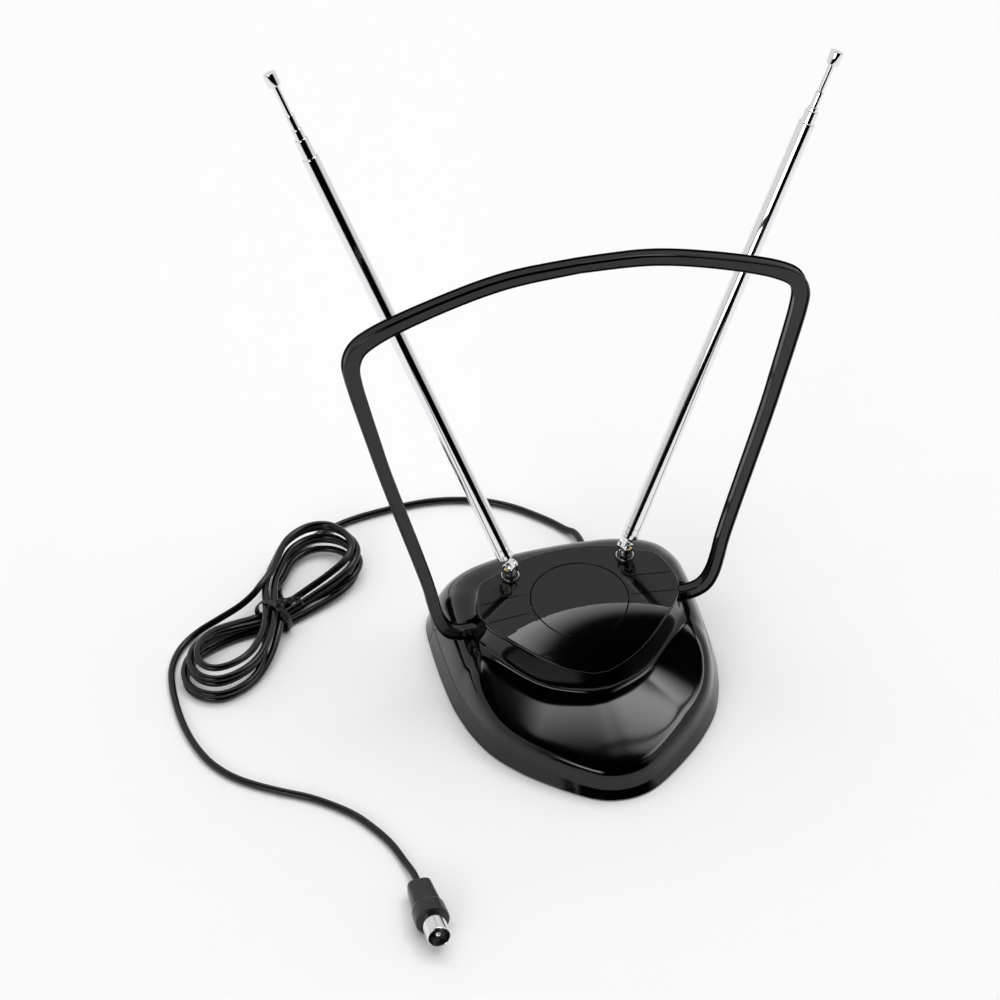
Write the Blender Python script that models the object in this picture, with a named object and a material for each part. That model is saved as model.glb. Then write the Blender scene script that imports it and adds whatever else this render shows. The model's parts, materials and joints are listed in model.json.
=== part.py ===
"""An indoor television aerial: a weighted plastic base, two telescopic rods on swivelling hinges,
a moulded loop and a coiled lead with a coaxial plug.

Sizes are written in millimetres and turned into metres as each mesh is made. X runs to the right,
Y to the back and Z up. The table is Z = 0, and the two rods' swivels stand on the line Y = 0."""

import bmesh
import bpy
import math
from mathutils import Matrix, Vector

for obj in list(bpy.data.objects):
    bpy.data.objects.remove(obj, do_unlink=True)

MM = 0.001
GAP = 0.3            # clearance between pieces that touch
WALL = 2.2           # thickness of the moulded shells
ROUND = 72           # points round each ring of the base

# Base. Each half outline is scaled by the three sizes below.
BASE_HALF_WIDTH = 57.8
BASE_FRONT = 96.0    # from the swivels' line to the nose
BASE_REAR = 36.5     # from the swivels' line to the back
FOOT_HEIGHT = 0.8    # the shells' lower edge above the table
EDGE_HEIGHT = 8.5    # side band, measured to its crisp upper edge
EDGE_DROP = 4.4      # how much lower that edge runs at the nose
EDGE_INSET = 2.3     # how far the band leans in
SHOULDER_Z = 25.0    # front shell beside the cap, where the loop's feet lie
NOSE_DIP = 5.0       # how much lower the dome is in front of the cap
NOSE_FALL = 0.12     # its forward fall there, as a slope at the cap
NOSE_CURVE = 0.001   # and how the fall grows
REAR_Z = 31.5        # rear cover beside the cap
SIDE_BEND = 3.8      # how quickly the dome rises at the sides and back, and at the nose
FRONT_BEND = 26
SIDE_WALL_BEND = 9   # how late it turns up into the wall under the cap, at the sides and the nose
FRONT_WALL_BEND = 60
BASE_CENTRE = (0.0, -19.1)

# Cap on top of the base, with an inlaid disc
CAP_Z = 40.0
CAP_HALF_WIDTH = 42.2
CAP_FRONT = 53.8
CAP_REAR = 10.6
CAP_THICK = 2.2
CAP_OVERHANG = 0.9
CREASE_Y = -24.0     # on the centre line; the crease runs forward to each side
DISC_RADIUS = 20.0
DISC_THICK = 1.2

# Base plate, and what it carries
PLATE_BOTTOM = 1.1
PLATE_TOP = 3.1
SCREW_RADIUS = 1.3
SCREW_HEAD = 2.7
SCREW_HEAD_DEPTH = 1.2
SCREW_LENGTH = 9.0
POST_RADIUS = 3.2
FRONT_POSTS = ((-31, -56), (31, -56))
REAR_POSTS = ((-34, 24), (34, 24))
BOARD_Z = 8.0
BOARD_THICK = 1.6
BOARD_SCREW = 1.0    # radius
BOARD_POSTS = ((-18, 12), (18, 12))
FEET = ((-19, -71), (19, -71), (-43, 12), (43, 12))
FOOT_RADIUS = 5.0
FOOT_SEAT = 0.8      # how far the rubber feet are let into the plate

# Parting line between the front shell and the rear cover
SEAM_Y = -12.0       # above the shoulder
SEAM_LOW_Y = 7.4     # on the side band

# Rods
SWIVEL_X = 24.5
HINGE_RISE = 5.5     # hinge axis above the cap
ROD_TILT = 30.2      # from upright
HINGE_Z = CAP_Z + HINGE_RISE
BUSH_BODY = 3.3
BUSH_FLANGE = 4.1
BUSH_TOP = 0.9
BUSH_DEPTH = 4.5
TAG_THICK = 0.6
STEM_RADIUS = 2.2
EYE_RADIUS = 2.55
NUT_RADIUS = 4.0
TONGUE_HALF = 1.0    # half the thickness of the rod's tongue
PIN_RADIUS = 0.9
TUBE_RADII = (3.5, 2.85, 2.25, 1.8, 1.4)
TUBE_BORES = (3.05, 2.45, 1.97, 1.57, 0.0)
TUBE_START = 4.5     # lower end of the outer tube above the hinge
ROD_LENGTH = 194.0   # hinge to the upper end of the outer tube
PLUG_DEPTH = 13.0    # the fitting inside the outer tube
INNER_START = 8.0    # each tube's lower end above that of the tube around it, at rest
TIP_RADIUS = 2.75
TIP_LENGTH = 5.6
TIP_ROOF = 1.5
SIDES = (
    # name, side, azimuth of the rod, steps from each tube's end to the next one's
    ("left", -1, 129.3, (8.3, 4.4, 6.2, 12.8)),
    ("right", 1, 30.6, (5.2, 1.5, 6.7, 11.6)),
)

# Loop: centre line of one half from its crown to its foot, with the band's width at each point
LOOP_FRONT_Y = -17.3
LOOP_DEPTH = 4.9
LOOP_LEAN = 0.042    # backward lean, as a slope
FOOT_Z = SHOULDER_Z  # its feet lie a little sunk in the shoulder
FOOT_WIDTH = 5.9
LOOP_HALF = (
    (0, 208.2, 4.6), (22, 207.2, 5.0), (37, 204.8, 5.1), (54, 200.1, 5.2), (70, 194.6, 5.6),
    (80, 190.2, 6.1), (86.6, 185.4, 6.5), (89.4, 178.5, 6.7), (88.8, 170, 6.4), (86, 156, 6.1),
    (82.5, 140, 5.8), (77.3, 117, 5.4), (66.3, 73.8, 5.3), (62, 56, 5.2), (60.2, 46, 5.2),
    (58.2, 37.3, 5.4), (54.9, 31.0, 5.8), (50, FOOT_Z + FOOT_WIDTH / 2 + 0.3, FOOT_WIDTH),
    (44, FOOT_Z + FOOT_WIDTH / 2, FOOT_WIDTH), (33, FOOT_Z + FOOT_WIDTH / 2, FOOT_WIDTH),
)

# Lead
CORD_RADIUS = 1.5
CORD_EXIT = (20.0, 4.3)      # X and Z of the hole in the back
CORD_REAR = ((18.5, 53, 3.2), (15, 58.5, 1.9), (10, 65, 1.6), (3, 72, 1.6), (-4, 78, 1.6),
             (-14, 84, 1.6), (-26, 88, 1.6), (-38, 90, 1.6), (-50, 90, 1.6), (-62, 89, 1.6))
CORD_TAIL = ((-165, -21, 1.6), (-162, -31, 1.6), (-158, -39, 1.6), (-152, -46.5, 1.6),
             (-144, -53, 1.6), (-134.5, -59, 1.6), (-124, -65, 1.6), (-115, -72, 1.6),
             (-108, -79, 1.6), (-102, -88, 1.6), (-97.5, -97, 1.6), (-94.5, -107, 1.7))
HANK_ENDS = ((-94, 60), (-146.5, 10.5))
HANK_RADIUS = 17.5
HANK_BOTTOM = 0.3
HANK_HEIGHT = 14.5
TIE_THICK = 0.9
TIE_WIDTH = 5.0

# Coaxial plug: it lies with its nose a little raised
PLUG_REAR = (-92.4, -121.5, 4.2)
PLUG_HEADING = -88.0         # degrees from +X
PLUG_RISE = 9.0              # degrees
PLUG_BODY = 23.0
SLEEVE_RADIUS = 4.75
SLEEVE_LENGTH = 9.0


# ---------------------------------------------------------------- materials and meshes

def material(name, colour, roughness, metallic=0.0):
    made = bpy.data.materials.new(name)
    made.use_nodes = True
    shader = made.node_tree.nodes["Principled BSDF"]
    shader.inputs["Base Color"].default_value = (*colour, 1)
    shader.inputs["Roughness"].default_value = roughness
    shader.inputs["Metallic"].default_value = metallic
    made.diffuse_color = (*colour, 1)
    return made


GLOSS = material("gloss_black_plastic", (0.006, 0.006, 0.007), 0.12)
SATIN = material("satin_black_plastic", (0.010, 0.010, 0.011), 0.40)
CHROME = material("chrome", (0.80, 0.80, 0.81), 0.10, 1.0)
BRASS = material("nickelled_brass", (0.72, 0.62, 0.42), 0.22, 1.0)
STEEL = material("zinc_steel", (0.55, 0.56, 0.58), 0.35, 1.0)
RUBBER = material("black_rubber", (0.015, 0.015, 0.015), 0.8)
LAMINATE = material("board_laminate", (0.02, 0.12, 0.05), 0.5)
FERRITE = material("ferrite", (0.05, 0.05, 0.055), 0.7)
SHEATH = material("cord_sheath", (0.008, 0.008, 0.009), 0.3)
INSULATOR = material("black_insulator", (0.012, 0.012, 0.013), 0.45)


def node(name, bm, look, parent=None):
    """One object from a bmesh built in millimetres."""
    bmesh.ops.scale(bm, vec=(MM, MM, MM), verts=bm.verts)
    bmesh.ops.recalc_face_normals(bm, faces=bm.faces)
    mesh = bpy.data.meshes.new(name)
    bm.to_mesh(mesh)
    bm.free()
    mesh.shade_smooth()
    mesh.set_sharp_from_angle(angle=math.radians(35))
    made = bpy.data.objects.new(name, mesh)
    made.data.materials.append(look)
    made.parent = parent
    bpy.context.scene.collection.objects.link(made)
    return made


def cutter(name, bm, parent=None):
    made = node(name, bm, SATIN, parent)
    made.hide_render = True
    made.display_type = "WIRE"
    return made


def boolean(obj, other, operation="DIFFERENCE"):
    step = obj.modifiers.new(other.name, "BOOLEAN")
    step.operation = operation
    step.solver = "EXACT"
    step.object = other


def frame(name, place, rotation=(0, 0, 0), parent=None):
    """An empty on a joint's axis, in millimetres and degrees."""
    made = bpy.data.objects.new(name, None)
    made.location = Vector(place) * MM
    made.rotation_euler = [math.radians(angle) for angle in rotation]
    made.parent = parent
    bpy.context.scene.collection.objects.link(made)
    return made


def add_rings(bm, rings, closed=False):
    """A skin through rings of equally many points, capped at both ends unless it closes on itself."""
    rows = [[bm.verts.new(point) for point in ring] for ring in rings]
    pairs = list(zip(rows, rows[1:]))
    if closed:
        pairs.append((rows[-1], rows[0]))
    for lower, upper in pairs:
        for i in range(len(lower)):
            j = (i + 1) % len(lower)
            bm.faces.new((lower[i], lower[j], upper[j], upper[i]))
    if not closed:
        bm.faces.new(rows[0])
        bm.faces.new(rows[-1])


def circle(radius, z, centre=(0, 0), points=32):
    angles = [2 * math.pi * i / points for i in range(points)]
    x, y = centre
    return [Vector((x + radius * math.cos(a), y + radius * math.sin(a), z)) for a in angles]


def add_turned(bm, profile, points=32, bored=False, centre=(0, 0)):
    """A turned solid about a vertical axis from (radius, z) pairs; a bored one closes on itself."""
    add_rings(bm, [circle(radius, z, centre, points) for radius, z in profile], closed=bored)


def turned(profile, points=32, bored=False, centre=(0, 0)):
    bm = bmesh.new()
    add_turned(bm, profile, points, bored, centre)
    return bm


def box(low, high):
    bm = bmesh.new()
    centre = (Vector(low) + Vector(high)) / 2
    size = Vector(high) - Vector(low)
    bmesh.ops.create_cube(bm, size=1, matrix=Matrix.Translation(centre) @ Matrix.Diagonal((*size, 1)))
    return bm


def prism(outline, low, high, axis="Z"):
    """A flat outline extruded from low to high along an axis."""
    def place(point, height):
        a, b = point
        return Vector({"X": (height, a, b), "Y": (a, height, b), "Z": (a, b, height)}[axis])

    bm = bmesh.new()
    add_rings(bm, [[place(point, height) for point in outline] for height in (low, high)])
    return bm


def cross_cylinder(radius, low, high, z=0.0, x=0.0, points=24):
    """A cylinder along Y."""
    bm = turned([(radius, low), (radius, high)], points)
    bmesh.ops.rotate(bm, verts=bm.verts, matrix=Matrix.Rotation(math.radians(-90), 3, "X"))
    bmesh.ops.translate(bm, verts=bm.verts, vec=(x, 0, z))
    return bm


def smooth(points, per_span=8, closed=False):
    """A Catmull-Rom curve through points of any dimension."""
    points = [Vector(point) for point in points]
    count = len(points)
    spans = count if closed else count - 1

    def at(index):
        return points[index % count] if closed else points[max(0, min(count - 1, index))]

    curve = []
    for span in range(spans):
        a, b, c, d = (at(span + k) for k in (-1, 0, 1, 2))
        for step in range(per_span):
            t = step / per_span
            curve.append(0.5 * (2 * b + (c - a) * t + (2 * a - 5 * b + 4 * c - d) * t * t
                                + (3 * b - a - 3 * c + d) * t ** 3))
    if not closed:
        curve.append(points[-1].copy())
    return curve


def eye_outline(radius, root_z, eye_z, points=12):
    """A strap from root_z that ends in a half circle about eye_z."""
    toward = 1 if eye_z > root_z else -1
    outline = [(-radius, root_z), (radius, root_z)]
    for i in range(points + 1):
        angle = math.pi * i / points
        outline.append((radius * math.cos(angle), eye_z + toward * radius * math.sin(angle)))
    return outline


def ease(value):
    value = max(0.0, min(1.0, value))
    return value * value * (3 - 2 * value)


# ---------------------------------------------------------------- outlines seen from above

def reach(half_outline, centre=BASE_CENTRE):
    """Distance from a centre to a symmetric outline, as a function of the direction's angle.
    The half outline runs from the nose to the back on the +X side."""
    half = [(x, y, 0.0) for x, y in half_outline]
    other = [(-x, y, 0.0) for x, y, _ in half[-2:0:-1]]
    polar = []
    for point in smooth(half + other, 10, closed=True):
        dx, dy = point.x - centre[0], point.y - centre[1]
        polar.append((math.atan2(dy, dx) % (2 * math.pi), math.hypot(dx, dy)))
    polar.sort()
    polar = [(polar[-1][0] - 2 * math.pi, polar[-1][1])] + polar + [(polar[0][0] + 2 * math.pi, polar[0][1])]

    def distance(angle):
        angle %= 2 * math.pi
        for (a, near), (b, far) in zip(polar, polar[1:]):
            if a <= angle <= b:
                return near + (far - near) * (angle - a) / max(b - a, 1e-9)
        return polar[-1][1]
    return distance


def scaled_outline(shape, half_width, front, rear):
    return [(x * half_width, y * (front if y < 0 else rear)) for x, y in shape]


BASE_SHAPE = ((0, -1), (0.156, -0.985), (0.306, -0.936), (0.50, -0.844), (0.664, -0.75), (0.815, -0.632),
              (0.905, -0.51), (0.956, -0.396), (0.984, -0.29), (1.0, -0.12), (1.0, 0.12), (0.987, 0.45),
              (0.93, 0.67), (0.826, 0.81), (0.68, 0.90), (0.43, 0.975), (0, 1))
CAP_SHAPE = ((0, -1), (0.12, -0.99), (0.38, -0.91), (0.615, -0.785), (0.85, -0.60), (0.965, -0.46),
             (1.0, -0.33), (0.975, -0.19), (0.89, -0.02), (0.73, 0.20), (0.52, 0.66), (0.27, 0.92), (0, 1))

base_reach = reach(scaled_outline(BASE_SHAPE, BASE_HALF_WIDTH, BASE_FRONT, BASE_REAR))
cap_reach = reach(scaled_outline(CAP_SHAPE, CAP_HALF_WIDTH, CAP_FRONT, CAP_REAR))


def around(distance_at, z_at, inset=0.0):
    """A ring of points round the base, at a distance and height that depend on the direction."""
    ring = []
    for i in range(ROUND):
        angle = 2 * math.pi * (i + 0.5) / ROUND
        distance = distance_at(angle) - inset
        x = BASE_CENTRE[0] + distance * math.cos(angle)
        y = BASE_CENTRE[1] + distance * math.sin(angle)
        ring.append(Vector((x, y, z_at(x, y, angle))))
    return ring


def forward(y):
    """0 over the rear and middle of the base, rising to 1 at its nose."""
    return max(0.0, min(1.0, (-50 - y) / (BASE_FRONT - 50)))


def cap_surface(x, y):
    """Height of the cap's top: level at the back, and falling away in front of a curved crease."""
    beyond = max(0.0, CREASE_Y - 0.0078 * x * x - y)
    return CAP_Z - 0.14 * beyond - 0.0045 * beyond ** 2


# ---------------------------------------------------------------- shells of the base

def edge_z(y):
    """Height of the side band's crisp upper edge."""
    return EDGE_HEIGHT - EDGE_DROP * forward(y) ** 1.3


def step_distance(angle, step):
    """Distance from the base's centre: step 0 is the band's upper edge and step 1 the wall under the cap."""
    outer = base_reach(angle) - EDGE_INSET
    return outer + (cap_reach(angle) - CAP_OVERHANG - outer) * step


def wall_bend(angle):
    return SIDE_WALL_BEND + (FRONT_WALL_BEND - SIDE_WALL_BEND) * ease((-math.sin(angle) - 0.15) / 0.7)


def dome_z(x, y, angle, step, top_z, dip):
    """Height of a shell's outer face. It rises steeply all round, most sharply at the nose,
    runs level at top_z beside the cap (lower by dip, and falling, at the nose) and turns up into the cap's wall."""
    front = ease((-math.sin(angle) - 0.15) / 0.7)
    shoulder = top_z - dip * front
    low = edge_z(y)
    bend = SIDE_BEND + (FRONT_BEND - SIDE_BEND) * front
    beyond = (step_distance(angle, 0) - step_distance(angle, 1)) * (1 - step)
    fall = front * beyond * (NOSE_FALL + NOSE_CURVE * beyond)
    dome = low + (shoulder - fall - low) * (1 - (1 - step) ** bend) ** (1 - 0.5 * front)
    return dome + (cap_surface(x, y) - CAP_THICK - GAP - shoulder) * step ** wall_bend(angle)


def shell_rings(top_z, dip, inset=0.0):
    """Rings from the table up the band, over the dome and up to the cap, for a shell's outer face
    (inset 0) or its inner face."""
    rings = [around(base_reach, lambda x, y, a: FOOT_HEIGHT, inset),
             around(lambda a: base_reach(a) - EDGE_INSET, lambda x, y, a: edge_z(y) - inset, inset)]
    for step in (0.006, 0.02, 0.045, 0.08, 0.13, 0.2, 0.3, 0.45, 0.62, 0.78, 0.88, 0.94, 0.975, 1.0):
        rings.append(around(lambda a, t=step: step_distance(a, t),
                            lambda x, y, a, t=step: (dome_z(x, y, a, t, top_z, dip)
                                                     - inset * (1 - t ** wall_bend(a))),
                            inset))
    return rings


def dome_over(x, y, top_z, dip):
    """Height of a shell's outer face above one point of the base."""
    dx, dy = x - BASE_CENTRE[0], y - BASE_CENTRE[1]
    angle = math.atan2(dy, dx)
    outer, inner = step_distance(angle, 0), step_distance(angle, 1)
    return dome_z(x, y, angle, (outer - math.hypot(dx, dy)) / (outer - inner), top_z, dip)


def shell(name, top_z, dip, keep):
    """One shell: the skin between an outer and an inner set of rings, cut along the parting line."""
    outer = shell_rings(top_z, dip)
    inner = shell_rings(top_z, dip, WALL)
    bm = bmesh.new()
    add_rings(bm, outer + inner[::-1], closed=True)
    made = node(name, bm, GLOSS)
    away = GAP / 2 if keep == "front" else -GAP / 2
    far = BASE_REAR + 40 if keep == "front" else -BASE_FRONT - 40
    high = CAP_Z + 20
    outline = [(SEAM_Y - away, high), (SEAM_Y - away, SHOULDER_Z - 1), (SEAM_LOW_Y - away, EDGE_HEIGHT),
               (SEAM_LOW_Y - away, -5), (far, -5), (far, high)]
    boolean(made, cutter(name + "_parting", prism(outline, -90, 90, "X")))
    return made


def screw_posts(shell_obj, places, top_z, dip):
    """Hollow posts inside a shell that take the screws from below."""
    for i, (x, y) in enumerate(places):
        top = dome_over(x, y, top_z, dip) - WALL
        post = turned([(POST_RADIUS, PLATE_TOP + GAP), (POST_RADIUS, top)], 20, centre=(x, y))
        boolean(shell_obj, cutter(f"{shell_obj.name}_post_{i}", post), "UNION")
        bore = SCREW_RADIUS + GAP / 2
        hole = turned([(bore, PLATE_TOP - 2), (bore, PLATE_TOP + 9)], 16, centre=(x, y))
        boolean(shell_obj, cutter(f"{shell_obj.name}_pilot_{i}", hole))


front_shell = shell("front_shell", SHOULDER_Z, NOSE_DIP, "front")
rear_cover = shell("rear_cover", REAR_Z, 0.0, "rear")

# The loop's feet lie in shallow seats in the front shell's shoulder and pass through its wall.
foot_slot = (FOOT_Z - GAP, FOOT_Z + FOOT_WIDTH + GAP)
for side in (-1, 1):
    low, high = sorted((side * 28, side * (BASE_HALF_WIDTH + 5)))
    slot = box((low, LOOP_FRONT_Y - GAP, foot_slot[0]), (high, SEAM_Y + 5, foot_slot[1]))
    boolean(front_shell, cutter(f"foot_slot_{side}", slot))

screw_posts(front_shell, FRONT_POSTS, SHOULDER_Z, NOSE_DIP)
screw_posts(rear_cover, REAR_POSTS, REAR_Z, 0.0)

# Room for the swivels' bushes and nuts, close to the rear cover's wall.
for name, side, _, _ in SIDES:
    clear = NUT_RADIUS + 2 * GAP
    room = turned([(clear, REAR_Z - 8), (clear, CAP_Z + 5)], 28, centre=(side * SWIVEL_X, 0))
    boolean(rear_cover, cutter(f"{name}_swivel_room", room))

# The lead leaves through a round hole in the rear band.
exit_x, exit_z = CORD_EXIT
depth = BASE_REAR - BASE_CENTRE[1] - 2
exit_y = BASE_CENTRE[1] + base_reach(math.atan2(depth, exit_x)) * depth / math.hypot(depth, exit_x)
GROMMET_RADIUS = 2.5
cord_hole = cutter("cord_hole", cross_cylinder(GROMMET_RADIUS + GAP, exit_y - 12, exit_y + 6, exit_z, exit_x))
boolean(rear_cover, cord_hole)


# ---------------------------------------------------------------- base plate and what it carries

def inside_band(z):
    """A ring just inside the shells, where the base plate ends."""
    def distance(angle):
        outer = base_reach(angle)
        nose = forward(BASE_CENTRE[1] + outer * math.sin(angle))
        return outer - WALL - EDGE_INSET / 2 - GAP - 0.8 * EDGE_DROP * nose
    return around(distance, lambda x, y, a: z)


def base_plate():
    bm = bmesh.new()
    add_rings(bm, [inside_band(PLATE_BOTTOM), inside_band(PLATE_TOP)])
    plate = node("base_plate", bm, SATIN)
    for i, place in enumerate(FRONT_POSTS + REAR_POSTS):
        step = PLATE_BOTTOM + SCREW_HEAD_DEPTH
        hole = [(SCREW_HEAD + GAP, PLATE_BOTTOM - 2), (SCREW_HEAD + GAP, step),
                (SCREW_RADIUS + GAP, step), (SCREW_RADIUS + GAP, PLATE_TOP + 2)]
        boolean(plate, cutter(f"plate_hole_{i}", turned(hole, 20, centre=place)))
    for i, place in enumerate(BOARD_POSTS):
        post = turned([(2.6, PLATE_TOP - 0.5), (2.6, BOARD_Z - GAP)], 20, centre=place)
        boolean(plate, cutter(f"board_post_{i}", post), "UNION")
        bore = BOARD_SCREW + GAP / 2
        hole = turned([(bore, PLATE_TOP + 0.6), (bore, BOARD_Z + 2)], 16, centre=place)
        boolean(plate, cutter(f"board_pilot_{i}", hole))
    for i, place in enumerate(FEET):
        seat = [(FOOT_RADIUS + GAP, PLATE_BOTTOM - 2), (FOOT_RADIUS + GAP, PLATE_BOTTOM + FOOT_SEAT)]
        boolean(plate, cutter(f"foot_seat_{i}", turned(seat, 24, centre=place)))
    boolean(plate, cord_hole)
    return plate


base_plate()
CORNERS = ("front_left", "front_right", "rear_left", "rear_right")
for corner, place in zip(CORNERS, FEET):
    foot = [(FOOT_RADIUS - 0.5, 0), (FOOT_RADIUS, 0.5), (FOOT_RADIUS, PLATE_BOTTOM + FOOT_SEAT - GAP)]
    node(f"foot_{corner}", turned(foot, 28, centre=place), RUBBER)

for corner, place in zip(CORNERS, FRONT_POSTS + REAR_POSTS):
    seat = PLATE_BOTTOM + SCREW_HEAD_DEPTH - GAP / 2
    profile = [(SCREW_HEAD, seat - 0.8), (SCREW_HEAD, seat),
               (SCREW_RADIUS, seat), (SCREW_RADIUS, seat + SCREW_LENGTH)]
    node(f"screw_{corner}", turned(profile, 20, centre=place), STEEL)

ballast = node("ballast_plate", box((-26, -54, PLATE_TOP + GAP), (26, -6, PLATE_TOP + GAP + 4.0)), STEEL)
ballast_bevel = ballast.modifiers.new("bevel", "BEVEL")
ballast_bevel.width = 0.8 * MM
ballast_bevel.segments = 1

board = node("circuit_board", box((-25, 0, BOARD_Z), (25, 24, BOARD_Z + BOARD_THICK)), LAMINATE)
for i, (x, y) in enumerate(BOARD_POSTS):
    bore, top = BOARD_SCREW + GAP, BOARD_Z + BOARD_THICK
    boolean(board, cutter(f"board_hole_{i}", turned([(bore, BOARD_Z - 2), (bore, top + 2)], 16, centre=(x, y))))
    top += GAP
    profile = [(BOARD_SCREW, PLATE_TOP + 1.0), (BOARD_SCREW, top), (2.1, top), (2.1, top + 1.2)]
    node(f"board_screw_{'left' if x < 0 else 'right'}", turned(profile, 20, centre=(x, y)), STEEL)

core_low = BOARD_Z + BOARD_THICK + GAP
core = node("balun_core", box((-7, 5, core_low), (7, 17, core_low + 8)), FERRITE)
for side in (-1, 1):
    boolean(core, cutter(f"core_bore_{side}", cross_cylinder(1.9, 2, 20, core_low + 4, side * 3.3, 16)))


# ---------------------------------------------------------------- cap and disc

def cap_ring(radius_at, drop):
    """A ring round the disc's centre that follows the cap's surface, lowered by drop."""
    return around(radius_at, lambda x, y, a: cap_surface(x, y) - drop)


def deck_cap():
    recess = DISC_RADIUS + GAP
    bm = bmesh.new()
    edge = 0.45
    rings = [cap_ring(lambda a: 2.0, DISC_THICK + GAP), cap_ring(lambda a: recess, DISC_THICK + GAP),
             cap_ring(lambda a: recess, 0)]
    for t in (0.33, 0.66, 1.0):
        rings.append(cap_ring(lambda a, t=t: recess + (cap_reach(a) - edge - recess) * t, 0))
    rings += [cap_ring(cap_reach, edge), cap_ring(cap_reach, CAP_THICK)]
    rings += [cap_ring(lambda a, t=t: 2.0 + (cap_reach(a) - 2.0) * t, CAP_THICK) for t in (0.7, 0.35, 0.0)]
    add_rings(bm, rings)
    made = node("deck_cap", bm, GLOSS)
    for name, side, _, _ in SIDES:
        bore = BUSH_BODY + GAP
        hole = turned([(bore, CAP_Z - 8), (bore, CAP_Z + 4)], 24, centre=(side * SWIVEL_X, 0))
        boolean(made, cutter(f"{name}_bush_hole", hole))
    return made


deck_cap()
disc = bmesh.new()
add_rings(disc, [cap_ring(lambda a: 2.0, DISC_THICK)] + [cap_ring(lambda a: DISC_RADIUS, DISC_THICK)]
          + [cap_ring(lambda a: DISC_RADIUS, 0.25), cap_ring(lambda a: DISC_RADIUS - 0.25, 0)]
          + [cap_ring(lambda a, t=t: t * DISC_RADIUS, 0) for t in (0.75, 0.5, 0.1)])
node("centre_disc", disc, GLOSS)


# ---------------------------------------------------------------- loop

def loop():
    """A band with a nearly square section, swept along both halves of its outline as one piece."""
    half = smooth(LOOP_HALF, 3)
    path = [Vector((-p.x, p.y, p.z)) for p in half[:0:-1]] + half
    bm = bmesh.new()
    rings = []
    chamfer = 0.6
    for i, point in enumerate(path):
        before, after = path[max(0, i - 1)], path[min(len(path) - 1, i + 1)]
        along = Vector((after.x - before.x, 0, after.y - before.y)).normalized()
        out = Vector((-along.z, 0, along.x))
        centre = Vector((point.x, 0, point.y))
        half_width = point.z / 2
        section = ((-half_width, 0), (-half_width, LOOP_DEPTH), (half_width, LOOP_DEPTH),
                   (half_width, chamfer), (half_width - chamfer, 0))
        ring = []
        for across, back in section:
            place = centre + out * across
            lean = LOOP_LEAN * max(0.0, place.z - FOOT_Z - FOOT_WIDTH)
            ring.append(Vector((place.x, LOOP_FRONT_Y + back + lean, place.z)))
        rings.append(ring)
    add_rings(bm, rings)
    return node("uhf_loop", bm, GLOSS)


loop()

# A steel bar across the base lies on the inner ends of both of the loop's feet.
clamp_low = FOOT_Z + FOOT_WIDTH + GAP
node("loop_clamp", box((-38, LOOP_FRONT_Y + 0.4, clamp_low), (38, LOOP_FRONT_Y + 4.6, clamp_low + 2.0)), STEEL)


# ---------------------------------------------------------------- rods

def swivel_parts(name, side, azimuth):
    """Everything that turns about the vertical through the cap, and the fixed bush around it."""
    fixed = frame(f"{name}_socket", (side * SWIVEL_X, 0, 0))
    running = STEM_RADIUS + GAP / 2
    bush = [(running, CAP_Z + BUSH_TOP), (BUSH_FLANGE, CAP_Z + BUSH_TOP), (BUSH_FLANGE, CAP_Z + GAP),
            (BUSH_BODY, CAP_Z + GAP), (BUSH_BODY, CAP_Z - BUSH_DEPTH), (running, CAP_Z - BUSH_DEPTH)]
    node(f"{name}_bush", turned(bush, 28, bored=True), SATIN, fixed)
    tag_top = CAP_Z - BUSH_DEPTH - GAP
    tag = [(running, tag_top), (3.6, tag_top), (3.6, tag_top - TAG_THICK), (running, tag_top - TAG_THICK)]
    node(f"{name}_contact_ring", turned(tag, 28, bored=True), BRASS, fixed)

    turning = frame(f"{name}_swivel", (side * SWIVEL_X, 0, 0), (0, 0, azimuth))
    seat = CAP_Z + BUSH_TOP + GAP
    nut_top = tag_top - TAG_THICK - GAP
    stem_end = nut_top - 5.2
    body = [(STEM_RADIUS, stem_end), (STEM_RADIUS, seat), (3.5, seat), (3.5, seat + 0.8), (2.9, seat + 1.2)]
    post = node(f"{name}_swivel_post", turned(body, 28), CHROME, turning)
    eye = prism(eye_outline(EYE_RADIUS, seat + 0.5, HINGE_Z), -2.5, 2.5, "Y")
    boolean(post, cutter(f"{name}_eye", eye, turning), "UNION")
    half_fork = TONGUE_HALF + GAP
    fork = box((-4, -half_fork, HINGE_Z - 3.1), (4, half_fork, HINGE_Z + 4))
    boolean(post, cutter(f"{name}_fork", fork, turning))
    boolean(post, cutter(f"{name}_eye_bore", cross_cylinder(PIN_RADIUS + 0.15, -4, 4, HINGE_Z, 0, 16), turning))
    hexagon = turned([(NUT_RADIUS, nut_top - 2.4), (NUT_RADIUS, nut_top)], 6)
    nut = node(f"{name}_retaining_nut", hexagon, STEEL, turning)
    nut_bore = turned([(running, nut_top - 4), (running, nut_top + 2)], 28)
    boolean(nut, cutter(f"{name}_nut_bore", nut_bore, turning))
    node(f"{name}_hinge_pin", cross_cylinder(PIN_RADIUS, -3.2, 3.2, HINGE_Z, 0, 16), BRASS, turning)
    return turning


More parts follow.
